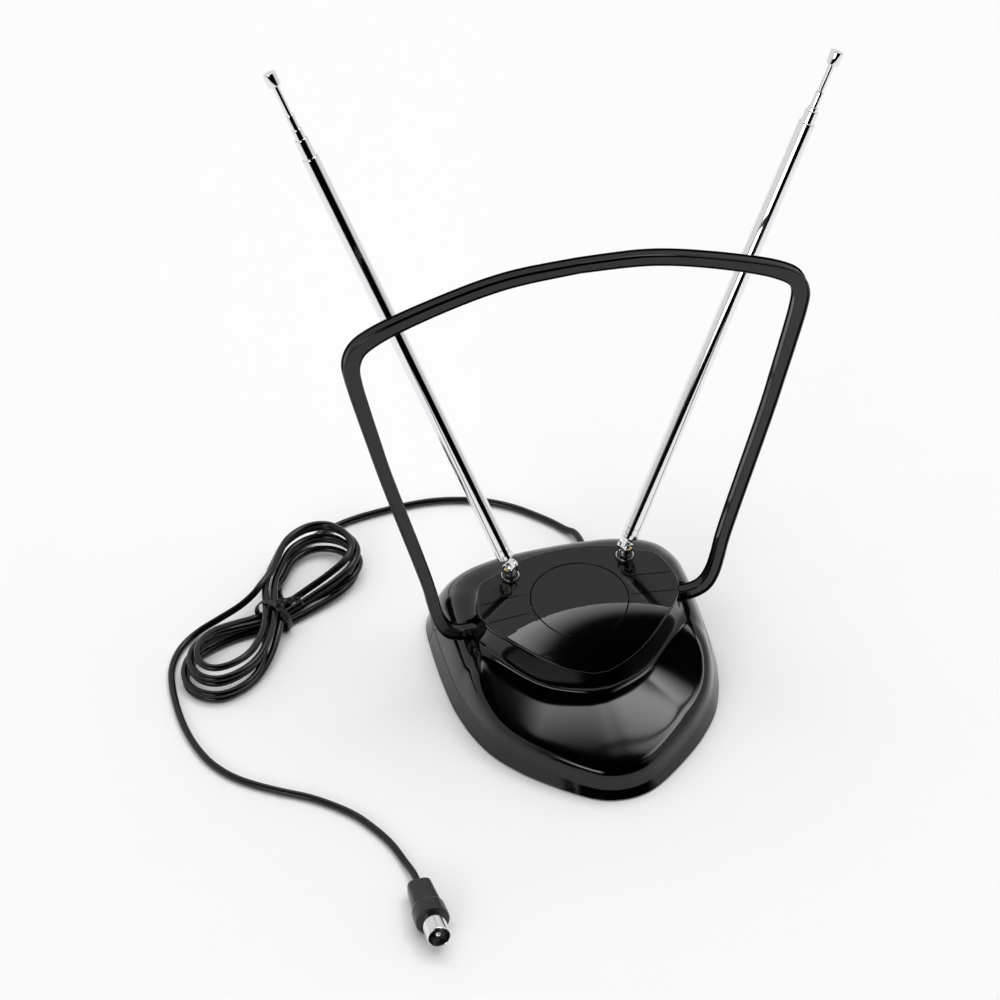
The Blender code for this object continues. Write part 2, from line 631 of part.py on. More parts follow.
def rod(name, turning, steps):
    """The hinged rod: a fitting, four tubes and a core that slide in one another, and a tip."""
    hinge = frame(f"{name}_hinge", (0, 0, HINGE_Z), (0, ROD_TILT, 0), turning)
    plug_top = TUBE_START + PLUG_DEPTH
    plug = TUBE_BORES[0] - 0.05
    body = [(plug - 0.9, TUBE_START - 1.0), (plug, TUBE_START - 0.2), (plug, plug_top)]
    fitting = node(f"{name}_rod_fitting", turned(body, 24), CHROME, hinge)
    tongue = prism(eye_outline(2.3, TUBE_START + 1, 0), -TONGUE_HALF, TONGUE_HALF, "Y")
    boolean(fitting, cutter(f"{name}_tongue", tongue, hinge), "UNION")
    boolean(fitting, cutter(f"{name}_tongue_bore", cross_cylinder(PIN_RADIUS + 0.15, -4, 4, 0, 0, 16), hinge))

    low, high = TUBE_START, ROD_LENGTH
    for number, (radius, bore) in enumerate(zip(TUBE_RADII, TUBE_BORES), start=1):
        points = 24 if number < 4 else 16
        if number == 1:
            groove = 0.25
            profile = [(bore, high), (radius - 0.3, high), (radius, high - 0.6)]
            for ring_z in (low + 5.0, low + 2.2):
                profile += [(radius, ring_z + 0.45), (radius - groove, ring_z), (radius, ring_z - 0.45)]
            profile += [(radius, low + 0.4), (radius - 0.3, low), (bore, low)]
        elif bore:
            profile = [(bore, high), (radius - 0.2, high), (radius, high - 0.4), (radius, low), (bore, low)]
        else:
            profile = [(radius, low), (radius, high + TIP_LENGTH - TIP_ROOF - GAP)]
        piece = f"{name}_tube_{number}" if bore else f"{name}_core"
        node(piece, turned(profile, points, bored=bore > 0), CHROME, hinge)
        if number < len(TUBE_RADII):
            high += steps[number - 1]
            low = plug_top + 1.0 + INNER_START * number
    top = high + TIP_LENGTH
    profile = [(TIP_RADIUS - 0.3, high), (TIP_RADIUS, high + 0.4),
               (TIP_RADIUS, top - 0.7), (TIP_RADIUS - 0.8, top)]
    tip = node(f"{name}_tip", turned(profile, 20), CHROME, hinge)
    bore = TUBE_RADII[-1] + 0.1
    boolean(tip, cutter(f"{name}_tip_bore", turned([(bore, high - 1), (bore, top - TIP_ROOF)], 16), hinge))


for name, side, azimuth, steps in SIDES:
    rod(name, swivel_parts(name, side, azimuth), steps)


# ---------------------------------------------------------------- lead

def tube(name, route, spacing=3.4):
    """A round cord through a smooth curve, with a point every two or three diameters."""
    fine = smooth(route, 30)
    kept, travelled = [fine[0]], 0.0
    for before, after in zip(fine, fine[1:]):
        travelled += (after - before).length
        if travelled >= spacing * 2 * CORD_RADIUS * 0.8:
            kept.append(after)
            travelled = 0.0
    if (fine[-1] - kept[-1]).length < 2 * CORD_RADIUS:
        kept.pop()
    kept.append(fine[-1])
    curve = bpy.data.curves.new(name, "CURVE")
    curve.dimensions = "3D"
    curve.bevel_depth = CORD_RADIUS * MM
    curve.bevel_resolution = 2
    curve.use_fill_caps = True
    spline = curve.splines.new("POLY")
    spline.points.add(len(kept) - 1)
    for target, point in zip(spline.points, kept):
        target.co = (*(point * MM), 1)
    made = bpy.data.objects.new(name, curve)
    curve.materials.append(SHEATH)
    bpy.context.scene.collection.objects.link(made)
    return made


def hank_outline(grow=0.0, points=14):
    """Two round ends joined by straight sides."""
    a, b = Vector(HANK_ENDS[0]), Vector(HANK_ENDS[1])
    heading = math.atan2(a.y - b.y, a.x - b.x)
    outline = []
    for centre, start in ((a, heading - math.pi / 2), (b, heading + math.pi / 2)):
        for i in range(points + 1):
            angle = start + math.pi * i / points
            outline.append((centre.x + (HANK_RADIUS + grow) * math.cos(angle),
                            centre.y + (HANK_RADIUS + grow) * math.sin(angle)))
    return outline


def on_hank(index, angle):
    """A point GAP outside the hank's round end, at an angle from +X."""
    centre = Vector(HANK_ENDS[index])
    radius = HANK_RADIUS + GAP
    return centre.x + radius * math.cos(math.radians(angle)), centre.y + radius * math.sin(math.radians(angle))


node("cord_hank", prism(hank_outline(), HANK_BOTTOM, HANK_BOTTOM + HANK_HEIGHT), SHEATH)

grommet_end = exit_y + 0.9
bm = cross_cylinder(GROMMET_RADIUS, exit_y - 8, grommet_end, exit_z, exit_x, 20)
gland = node("cord_gland", bm, RUBBER)
gland_bore = cross_cylinder(CORD_RADIUS + GAP, grommet_end - 3, grommet_end + 3, exit_z, exit_x, 16)
boolean(gland, cutter("gland_bore", gland_bore))

hank_in = on_hank(0, 68)
tube("cord_rear", ((exit_x, grommet_end - 2.5, exit_z), (exit_x - 0.2, grommet_end + 1.5, exit_z), *CORD_REAR,
                   (hank_in[0] + 0.6, hank_in[1] + 0.8, 3.0)))

plug_turn = (Matrix.Rotation(math.radians(PLUG_HEADING), 4, "Z")
             @ Matrix.Rotation(math.radians(90 - PLUG_RISE), 4, "Y"))
plug_axis = plug_turn @ Vector((0, 0, 1))
plug_start = Vector(PLUG_REAR)
hank_out = on_hank(1, 212)
tube("cord_tail", ((hank_out[0] - 1.2, hank_out[1] - 1.2, 3.0), *CORD_TAIL,
                   plug_start - plug_axis * 5, plug_start - plug_axis * GAP))


def strap():
    """A flat tie over the hank's waist, open underneath, with its twisted end beside it."""
    a, b = Vector(HANK_ENDS[0]), Vector(HANK_ENDS[1])
    middle = (a + b) / 2
    heading = math.degrees(math.atan2(a.y - b.y, a.x - b.x))
    half = HANK_RADIUS + GAP
    top = HANK_BOTTOM + HANK_HEIGHT + GAP
    outline = [(-half - TIE_THICK, GAP), (-half, GAP), (-half, top), (half, top), (half, GAP),
               (half + TIE_THICK, GAP), (half + TIE_THICK, top + TIE_THICK), (-half - TIE_THICK, top + TIE_THICK)]
    made = node("cord_tie", prism(outline, -TIE_WIDTH / 2, TIE_WIDTH / 2, "X"), SATIN)
    made.location = (middle.x * MM, middle.y * MM, 0)
    made.rotation_euler = (0, 0, math.radians(heading))


strap()

plug_frame = frame("plug_frame", PLUG_REAR)
plug_frame.rotation_euler = plug_turn.to_euler()
body = [(2.2, 0), (4.3, 2), (4.9, 9), (5.4, 13.5), (6.4, 15.6), (6.8, 17), (6.8, PLUG_BODY - 0.7), (6.2, PLUG_BODY)]
node("plug_body", turned(body, 12), SATIN, plug_frame)
low, high = PLUG_BODY + GAP, PLUG_BODY + SLEEVE_LENGTH
inner = SLEEVE_RADIUS - 0.45
sleeve = [(inner, low), (SLEEVE_RADIUS, low), (SLEEVE_RADIUS, high - 0.4),
          (SLEEVE_RADIUS - 0.25, high), (inner, high)]
node("plug_sleeve", turned(sleeve, 32, bored=True), CHROME, plug_frame)
insulator_top = low + 3.0
node("plug_insulator", turned([(inner - 0.1, low), (inner - 0.1, insulator_top)], 28), INSULATOR, plug_frame)
pin_end = high - 1.0
pin = [(1.15, insulator_top + GAP), (1.15, pin_end - 0.8), (0.5, pin_end)]
node("plug_pin", turned(pin, 16), CHROME, plug_frame)
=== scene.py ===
import bmesh
import bpy
import json
import math
from mathutils import Matrix, Vector

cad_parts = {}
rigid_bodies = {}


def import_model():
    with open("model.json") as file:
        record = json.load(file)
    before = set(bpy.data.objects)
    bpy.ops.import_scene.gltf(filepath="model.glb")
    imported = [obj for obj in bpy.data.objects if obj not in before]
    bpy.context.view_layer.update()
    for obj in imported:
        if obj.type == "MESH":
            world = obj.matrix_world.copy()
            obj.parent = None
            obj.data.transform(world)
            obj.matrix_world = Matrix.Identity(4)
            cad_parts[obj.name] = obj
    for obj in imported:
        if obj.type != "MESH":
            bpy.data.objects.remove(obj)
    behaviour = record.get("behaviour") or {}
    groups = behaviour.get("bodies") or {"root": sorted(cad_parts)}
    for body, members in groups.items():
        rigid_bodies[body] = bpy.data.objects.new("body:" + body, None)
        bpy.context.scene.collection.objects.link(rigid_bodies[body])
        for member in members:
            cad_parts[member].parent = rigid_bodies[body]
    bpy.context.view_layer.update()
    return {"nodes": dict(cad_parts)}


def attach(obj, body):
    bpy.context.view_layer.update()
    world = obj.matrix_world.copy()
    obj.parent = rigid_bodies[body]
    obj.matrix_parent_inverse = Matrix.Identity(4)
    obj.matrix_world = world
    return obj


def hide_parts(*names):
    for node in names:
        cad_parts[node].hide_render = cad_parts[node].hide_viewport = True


for leftover in list(bpy.data.objects):
    bpy.data.objects.remove(leftover, do_unlink=True)
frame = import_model()

# ---------------------------------------------------------------- camera
# The aerial stands on a table and is seen from above its nose, a little from the left, through a long lens.
MM = 0.001  # sizes below are in millimetres
camera_data = bpy.data.cameras.new("camera")
camera_data.lens = 122.4
camera_data.sensor_width = 36
camera = bpy.data.objects.new("camera", camera_data)
camera.location = Vector((-268.9, -957.0, 1037.5)) * MM
camera.rotation_euler = (math.radians(46), 0, math.radians(-14.08))
bpy.context.scene.collection.objects.link(camera)
bpy.context.scene.camera = camera

# ---------------------------------------------------------------- lead
# The lead is thin flexible coaxial cable in glossy black PVC. It leaves the back of the base, is wound
# into a figure of eight that a tie holds at its waist, and runs on across the table to its plug.
CORD_RADIUS = 1.5
PLASTIC_IOR = 1.46
CORD_REAR = ((20, 34.3, 4.3), (19.8, 38.3, 4.3), (18.5, 53, 3.2), (15, 58.5, 1.9), (10, 65, 1.6), (3, 72, 1.6),
             (-4, 78, 1.6), (-14, 84, 1.6), (-26, 88, 1.6), (-38, 90, 1.6), (-50, 90, 1.6), (-62, 89, 1.6),
             (-72, 87.5, 1.6), (-81, 85, 1.6), (-90, 81.5, 1.6), (-99, 76, 1.6), (-106, 68.5, 1.6))
CORD_TAIL = ((-121, 47.5, 12.6), (-125.5, 43.5, 11.2), (-132, 40.6, 8.6), (-141, 38.6, 5.4), (-150, 36.0, 3.0),
             (-157.5, 31.2, 1.8), (-162.6, 24.6, 1.6), (-165.8, 16.6, 1.6), (-167.0, 8.0, 1.6), (-167.2, -1, 1.6),
             (-166.6, -11, 1.6), (-165, -21, 1.6), (-162, -31, 1.6), (-158, -39, 1.6), (-152, -46.5, 1.6),
             (-144, -53, 1.6), (-134.5, -59, 1.6), (-124, -65, 1.6), (-115, -72, 1.6), (-108, -79, 1.6),
             (-102, -88, 1.6), (-97.5, -97, 1.6), (-94.5, -107, 1.8))
# One turn of the coil: each station's place in the highest turn and in the lowest one. It runs from the top
# of the upper lobe down its left side, across, round the lower lobe, and back across and up the right side.
TURN = (((-92.5, 77.5), (-92.5, 70.3)), ((-99.8, 75.5), (-99.5, 68.8)), ((-106.5, 70.5), (-105.5, 64.5)),
        ((-111.7, 62.5), (-110, 57.5)), ((-116, 54.5), (-113.5, 50)), ((-118.5, 46), (-116, 42.5)),
        ((-119.8, 36), (-118.5, 33)), ((-122, 27), (-121.5, 23.5)), ((-126.2, 18.2), (-125.5, 13)),
        ((-132, 10.2), (-131, 4.5)), ((-139.5, 5.4), (-138.5, -1.2)), ((-147.6, 3.8), (-148, -4.2)),
        ((-153.5, 6.5), (-156, -1.5)), ((-155.6, 12), (-161, 4.5)), ((-154.8, 18), (-161.5, 12)),
        ((-151, 24), (-157.5, 20)), ((-144.5, 28.8), (-149, 26.5)), ((-135.5, 31.8), (-138, 31)),
        ((-127, 34), (-127.5, 33.3)), ((-118.5, 36.5), (-118.5, 34.5)), ((-110, 39.8), (-109.5, 36.8)),
        ((-101, 43.5), (-99.5, 39.5)), ((-91, 47.8), (-88.5, 43)), ((-82.5, 53), (-81, 47.5)),
        ((-78.2, 60.5), (-77.2, 54.5)), ((-79.5, 68.5), (-79, 62)), ((-85, 75.5), (-84.5, 67.8)))
TURNS = 5
LOW_TURN, HIGH_TURN = 1.6, 13.0
TOP_HELD, LOBE_HELD = 3, 2      # stations on each side of a lobe's end that stay level
STRAND_ASIDE, LOBE_LOWER = 0.95, 1.2
DOWN_CROSSING, UP_CROSSING, LOWER_LOBE = 6, 19, 12
# Each turn crosses the waist twice: rising strands lie underneath, falling ones on top, side by side in two rows.
RISING = ((-3.1, 1.6), (3.1, 1.6), (0, 1.7), (-1.6, 4.4), (1.6, 4.5))
FALLING = ((3.1, 7.3), (-3.1, 7.3), (0, 7.5), (1.6, 10.2), (-1.6, 10.4))
PLUG_REAR = Vector((-92.4, -121.5, 4.2))
PLUG_TURN = Matrix.Rotation(math.radians(-88), 4, "Z") @ Matrix.Rotation(math.radians(81), 4, "Y")


def smooth(points, per_span=8, closed=False):
    """A Catmull-Rom curve through points."""
    points = [Vector(point) for point in points]
    count = len(points)

    def at(index):
        return points[index % count] if closed else points[max(0, min(count - 1, index))]

    curve = []
    for span in range(count if closed else count - 1):
        a, b, c, d = (at(span + k) for k in (-1, 0, 1, 2))
        for step in range(per_span):
            t = step / per_span
            curve.append(0.5 * (2 * b + (c - a) * t + (2 * a - 5 * b + 4 * c - d) * t * t
                                + (3 * b - a - 3 * c + d) * t ** 3))
    if not closed:
        curve.append(points[-1].copy())
    return curve


def ease(value):
    """0 to 1 with a level start and end."""
    value = max(0.0, min(1.0, value))
    return value * value * (3 - 2 * value)


def between(keys, at):
    """Values at a place along keys of (place, value, value ...), easing from one key to the next."""
    for (a, *near), (b, *far) in zip(keys, keys[1:]):
        if at <= b:
            share = ease((at - a) / (b - a))
            return [p + (q - p) * share for p, q in zip(near, far)]
    return list(keys[-1][1:])


def coil_points():
    """The coil's line: TURNS full turns, with each lobe's strands stacked from the lowest to the highest."""
    stations = len(TURN)
    keys = []
    for turn in range(TURNS + 1):
        start = turn * stations
        rise = turn / TURNS
        height = LOW_TURN + (HIGH_TURN - LOW_TURN) * rise
        side = STRAND_ASIDE if turn % 2 else -STRAND_ASIDE
        keys.append((start - TOP_HELD, rise, height, side))
        keys.append((start + TOP_HELD, rise, height, side))
        if turn < TURNS:
            low = turn / (TURNS - 1)
            low_height = LOW_TURN + (HIGH_TURN - LOBE_LOWER - LOW_TURN) * low
            keys.append((start + DOWN_CROSSING, low, FALLING[turn][1], FALLING[turn][0]))
            keys.append((start + LOWER_LOBE - LOBE_HELD, low, low_height, side))
            keys.append((start + LOWER_LOBE + LOBE_HELD, low, low_height, side))
            keys.append((start + UP_CROSSING, low, RISING[turn][1], RISING[turn][0]))
    tops = [Vector(top) for top, _ in TURN]
    lows = [Vector(low) for _, low in TURN]
    points = []
    for index in range(TOP_HELD, TURNS * stations + TOP_HELD + 2):
        share, height, side = between(keys, index)
        line = [lows[(index + k) % stations].lerp(tops[(index + k) % stations], share) for k in (-1, 0, 1)]
        along = (line[2] - line[0]).normalized()
        place = line[1] + Vector((-along.y, along.x)) * side
        points.append((place.x, place.y, height))
    return points


def lie_on(points, finish, name, radius):
    """A round cord along a smooth curve."""
    curve = bpy.data.curves.new(name, "CURVE")
    curve.dimensions = "3D"
    curve.bevel_depth = radius * MM
    curve.bevel_resolution = 5
    curve.use_fill_caps = True
    spline = curve.splines.new("POLY")
    spline.points.add(len(points) - 1)
    for target, point in zip(spline.points, points):
        target.co = (*(point * MM), 1)
    curve.materials.append(finish)
    made = bpy.data.objects.new(name, curve)
    bpy.context.scene.collection.objects.link(made)
    return made


def grain(finish, scale, strength, distance, vary=0.0, stretch=(1, 1, 1), detail=4.0):
    """Fine unevenness for a finish: bump from noise in the piece's own space, and a little variation in roughness."""
    tree = finish.node_tree
    shader = tree.nodes["Principled BSDF"]
    place = tree.nodes.new("ShaderNodeTexCoord")
    mapping = tree.nodes.new("ShaderNodeMapping")
    mapping.inputs["Scale"].default_value = stretch
    noise = tree.nodes.new("ShaderNodeTexNoise")
    noise.inputs["Scale"].default_value = scale
    noise.inputs["Detail"].default_value = detail
    bump = tree.nodes.new("ShaderNodeBump")
    bump.inputs["Strength"].default_value = strength
    bump.inputs["Distance"].default_value = distance
    tree.links.new(place.outputs["Object"], mapping.inputs["Vector"])
    tree.links.new(mapping.outputs["Vector"], noise.inputs["Vector"])
    tree.links.new(noise.outputs["Fac"], bump.inputs["Height"])
    tree.links.new(bump.outputs["Normal"], shader.inputs["Normal"])
    if vary:
        wide = tree.nodes.new("ShaderNodeTexNoise")
        wide.inputs["Scale"].default_value = scale / 12
        wide.inputs["Detail"].default_value = 6
        spread = tree.nodes.new("ShaderNodeMapRange")
        base = shader.inputs["Roughness"].default_value
        spread.inputs["To Min"].default_value = base - vary
        spread.inputs["To Max"].default_value = base + vary
        tree.links.new(mapping.outputs["Vector"], wide.inputs["Vector"])
        tree.links.new(wide.outputs["Fac"], spread.inputs["Value"])
        tree.links.new(spread.outputs["Result"], shader.inputs["Roughness"])
    return finish


def finish_of(name, colour, roughness, metallic=0.0):
    """A finish of one colour."""
    made = bpy.data.materials.new(name)
    made.use_nodes = True
    shader = made.node_tree.nodes["Principled BSDF"]
    shader.inputs["Base Color"].default_value = (*colour, 1)
    shader.inputs["Roughness"].default_value = roughness
    shader.inputs["Metallic"].default_value = metallic
    shader.inputs["IOR"].default_value = PLASTIC_IOR
    return made


sheath_pvc = grain(finish_of("sheath_pvc", (0.0012, 0.0012, 0.0013), 0.2), 900, 0.10, 0.0002, 0.05)
plug_axis = PLUG_TURN @ Vector((0, 0, 1))
line = [Vector(p) for p in CORD_REAR] + [Vector(p) for p in coil_points()] + [Vector(p) for p in CORD_TAIL]
line += [PLUG_REAR - plug_axis * 6, PLUG_REAR + plug_axis * 1.5]
line = smooth(line, 4)
lead = lie_on(line, sheath_pvc, "lead", CORD_RADIUS)
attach(lead, "base")
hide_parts("cord_rear", "cord_hank", "cord_tail")

# ---------------------------------------------------------------- tie round the coil
# A twist tie of flat black plastic strip with a wire in it. It goes once round the coil's waist and its two
# ends are twisted together and bent down onto the strands.
WAIST = Vector((-118.8, 34.6, 0))
WAIST_HEADING = math.radians(43.3)
TIE_OUTLINE = ((-8.6, 3.0), (-8.4, 6.6), (-6.6, 10.2), (-3.6, 12.5), (0.0, 13.1), (3.4, 12.4), (6.4, 9.9),
               (8.3, 6.4), (8.5, 3.0), (6.6, 0.9), (2.5, 0.6), (-2.5, 0.6), (-6.8, 0.9))
TIE_WIDTH, TIE_THICK = 3.0, 0.7
TIE_SIDES = 12
TWIST_POINTS, TWIST_TURNS, TWIST_RADIUS = 60, 2.2, 0.75


def piece(name, verts, faces, finish, body, slot, replaced=(), angle=40, transform=None):
    """A mesh in millimetres that rides on a body, has smooth faces with crisp edges, and may stand for CAD nodes."""
    bm = bmesh.new()
    points = [bm.verts.new(Vector(v) * MM) for v in verts]
    for face in faces:
        bm.faces.new([points[i] for i in face])
    bmesh.ops.recalc_face_normals(bm, faces=bm.faces)
    if transform is not None:
        move = transform.copy()
        move.translation = move.translation * MM
        bm.transform(move)
    mesh = bpy.data.meshes.new(name)
    bm.to_mesh(mesh)
    bm.free()
    mesh.shade_smooth()
    mesh.set_sharp_from_angle(angle=math.radians(angle))
    mesh.materials.append(finish)
    made = bpy.data.objects.new(name, mesh)
    bpy.context.scene.collection.objects.link(made)
    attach(made, body)
    if replaced:
        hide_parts(*replaced)
    return made


def skin(rows, loop_rows=False, loop_columns=True, caps=False):
    """Vertices and faces of a surface through rows of equally many points."""
    verts = [point for row in rows for point in row]
    width = len(rows[0])
    faces = []
    for r in range(len(rows) if loop_rows else len(rows) - 1):
        for c in range(width if loop_columns else width - 1):
            d, s = (c + 1) % width, (r + 1) % len(rows)
            faces.append((r * width + c, r * width + d, s * width + d, s * width + c))
    if caps:
        faces.append(tuple(range(width)))
        faces.append(tuple(range((len(rows) - 1) * width, len(rows) * width)))
    return verts, faces


def sweep(path, half_width, half_thick, across, closed=False):
    """Rows of a flat strip with rounded edges along a path; across is the direction of its width."""
    rows = []
    count = len(path)
    for i, point in enumerate(path):
        before = path[(i - 1) % count] if closed else path[max(0, i - 1)]
        after = path[(i + 1) % count] if closed else path[min(count - 1, i + 1)]
        along = (after - before).normalized()
        wide = across(i)
        thick = along.cross(wide).normalized()
        row = []
        for k in range(TIE_SIDES):
            turn = 2 * math.pi * k / TIE_SIDES
            bulge = math.copysign(abs(math.cos(turn)) ** 0.5, math.cos(turn))
            row.append(point + wide * half_width * bulge + thick * half_thick * math.sin(turn))
        rows.append(row)
    return rows


tie_plastic = grain(finish_of("tie_plastic", (0.008, 0.008, 0.009), 0.38), 700, 0.25, 0.0003, 0.06)
along_waist = Vector((math.cos(WAIST_HEADING), math.sin(WAIST_HEADING), 0))
across_waist = Vector((-along_waist.y, along_waist.x, 0))
ring = [WAIST + across_waist * p.x + Vector((0, 0, p.y)) for p in smooth(TIE_OUTLINE, 6, closed=True)]
tie_rows = sweep(ring, TIE_WIDTH / 2, TIE_THICK / 2, lambda i: along_waist, closed=True)
piece("coil_tie", *skin(tie_rows, loop_rows=True), tie_plastic, "base", "satin_black_plastic", ("cord_tie",), 60)

TWIST_START = Vector((-117.2, 33.2, 13.6))
for number, phase in enumerate((0.0, math.pi)):
    twist, widths = [], []
    for i in range(TWIST_POINTS + 1):
        share = i / TWIST_POINTS
        centre = TWIST_START + Vector((11.5, 1.0, 0)) * share + Vector((0, 0, 1.0 - 2.2 * share ** 2))
        turn = phase + share * 2 * math.pi * TWIST_TURNS
        spread = TWIST_RADIUS if share < 0.8 else TWIST_RADIUS + 5.0 * (share - 0.8)
        twist.append(centre + Vector((0, math.cos(turn), math.sin(turn))) * spread)
        widths.append(Vector((0.15, -math.sin(turn), math.cos(turn))).normalized())
    rows = sweep(twist, 1.05, TIE_THICK / 2, lambda i, across=widths: across[i])
    piece(f"tie_end_{number}", *skin(rows, caps=True), tie_plastic, "base", "satin_black_plastic", (), 60)

# ---------------------------------------------------------------- shells of the base
# The base is two glossy black ABS mouldings: a front shell with a domed nose and a rear cover, screwed to the
# base plate. They meet along a fine parting line that slants down each side.
GAP, SEAM_GAP = 0.3, 0.11
BASE_HALF_WIDTH, BASE_FRONT, BASE_REAR = 57.8, 96.0, 36.5
FOOT_HEIGHT, EDGE_HEIGHT, EDGE_DROP, EDGE_INSET = 0.8, 8.5, 4.4, 2.3
SHOULDER_Z, NOSE_DIP, NOSE_FALL, NOSE_CURVE, REAR_Z = 25.0, 5.0, 0.12, 0.001, 31.5
SIDE_BEND, FRONT_BEND, SIDE_WALL_BEND, FRONT_WALL_BEND = 3.8, 26, 9, 60
BASE_CENTRE = (0.0, -19.1)
NOSE_Y = -50.0                  # forward of this line the band gets lower
CAP_Z, CAP_HALF_WIDTH, CAP_FRONT, CAP_REAR = 40.0, 42.2, 53.8, 10.6
CAP_THICK, CAP_OVERHANG, CREASE_Y = 2.2, 0.9, -24.0
CREASE_BOW, CAP_SLOPE, CAP_CURVE = 0.0078, 0.14, 0.0045
DIRECTIONS = 1440
SHELL_ROWS, SHELL_COLUMNS = 110, 260
SEAM_Y, SEAM_LOW_Y = -12.0, 7.4
BASE_SHAPE = ((0, -1), (0.156, -0.985), (0.306, -0.936), (0.50, -0.844), (0.664, -0.75), (0.815, -0.632),
              (0.905, -0.51), (0.956, -0.396), (0.984, -0.29), (1.0, -0.12), (1.0, 0.12), (0.987, 0.45),
              (0.93, 0.67), (0.826, 0.81), (0.68, 0.90), (0.43, 0.975), (0, 1))
CAP_SHAPE = ((0, -1), (0.12, -0.99), (0.38, -0.91), (0.615, -0.785), (0.85, -0.60), (0.965, -0.46),
             (1.0, -0.33), (0.975, -0.19), (0.89, -0.02), (0.73, 0.20), (0.52, 0.66), (0.27, 0.92), (0, 1))


def reach(shape, half_width, front, rear):
    """Distance from the base's centre to a symmetric outline, as a function of the direction's angle."""
    half = [(x * half_width, y * (front if y < 0 else rear), 0.0) for x, y in shape]
    other = [(-x, y, 0.0) for x, y, _ in half[-2:0:-1]]
    polar = []
    for point in smooth(half + other, 10, closed=True):
        dx, dy = point.x - BASE_CENTRE[0], point.y - BASE_CENTRE[1]
        polar.append((math.atan2(dy, dx) % (2 * math.pi), math.hypot(dx, dy)))
    polar.sort()
    distances = []
    for i in range(DIRECTIONS):
        angle = 2 * math.pi * i / DIRECTIONS
        after = next((k for k, (a, _) in enumerate(polar) if a >= angle), 0)
        (a, near), (b, far) = polar[after - 1], polar[after]
        span = (b - a) % (2 * math.pi)
        distances.append(near + (far - near) * (((angle - a) % (2 * math.pi)) / span if span else 0))
    for _ in range(6):
        distances = [(distances[i - 1] + 2 * d + distances[(i + 1) % DIRECTIONS]) / 4
                     for i, d in enumerate(distances)]

    def distance(angle):
        place = (angle % (2 * math.pi)) / (2 * math.pi) * DIRECTIONS
        low = int(place) % DIRECTIONS
        return distances[low] + (distances[(low + 1) % DIRECTIONS] - distances[low]) * (place - int(place))
    return distance


base_reach = reach(BASE_SHAPE, BASE_HALF_WIDTH, BASE_FRONT, BASE_REAR)
cap_reach = reach(CAP_SHAPE, CAP_HALF_WIDTH, CAP_FRONT, CAP_REAR)


def cap_surface(x, y):
    """Height of the cap's top: level at the back, and falling away in front of a curved crease."""
    beyond = max(0.0, CREASE_Y - CREASE_BOW * x * x - y)
    return CAP_Z - CAP_SLOPE * beyond - CAP_CURVE * beyond ** 2


def base_point(angle, step, top_z, dip):
    """A point of a shell's outer face. Step runs from -1 at the table over 0, the band's crisp upper edge,
    to 1 at the top of the wall under the cap."""
    outer = base_reach(angle) - EDGE_INSET
    if step < 0:
        distance = outer - EDGE_INSET * step
    else:
        distance = outer - 0.35 * ease(step / 0.01) + (cap_reach(angle) - CAP_OVERHANG - outer) * step
    x = BASE_CENTRE[0] + distance * math.cos(angle)
    y = BASE_CENTRE[1] + distance * math.sin(angle)
    nose = max(0.0, min(1.0, (NOSE_Y - y) / (BASE_FRONT + NOSE_Y)))
    low = EDGE_HEIGHT - EDGE_DROP * nose ** 1.3
    if step < 0:
        return Vector((x, y, FOOT_HEIGHT + (low - FOOT_HEIGHT) * (1 + step)))
    front = ease((-math.sin(angle) - 0.15) / 0.7)
    shoulder = top_z - dip * front
    bend = SIDE_BEND + (FRONT_BEND - SIDE_BEND) * front
    beyond = (outer - cap_reach(angle) + CAP_OVERHANG) * (1 - step)
    fall = front * beyond * (NOSE_FALL + NOSE_CURVE * beyond)
    dome = low + (shoulder - fall - low) * (1 - (1 - step) ** bend) ** (1 - 0.5 * front)
    wall_bend = SIDE_WALL_BEND + (FRONT_WALL_BEND - SIDE_WALL_BEND) * front
    return Vector((x, y, dome + (cap_surface(x, y) - CAP_THICK - GAP - shoulder) * step ** wall_bend))


def seam_angle(step, top_z, dip, away):
    """Direction in which a row of a shell meets the parting line on the right-hand side."""
    low, high = math.radians(-50), math.radians(75)
    for _ in range(40):
        angle = (low + high) / 2
        place = base_point(angle, step, top_z, dip)
        slant = max(0.0, min(1.0, (SHOULDER_Z - 1 - place.z) / (SHOULDER_Z - 1 - EDGE_HEIGHT)))
        line_y = SEAM_Y + (SEAM_LOW_Y - SEAM_Y) * slant
        if place.y - line_y - away > 0:
            high = angle
        else:
            low = angle
    return (low + high) / 2


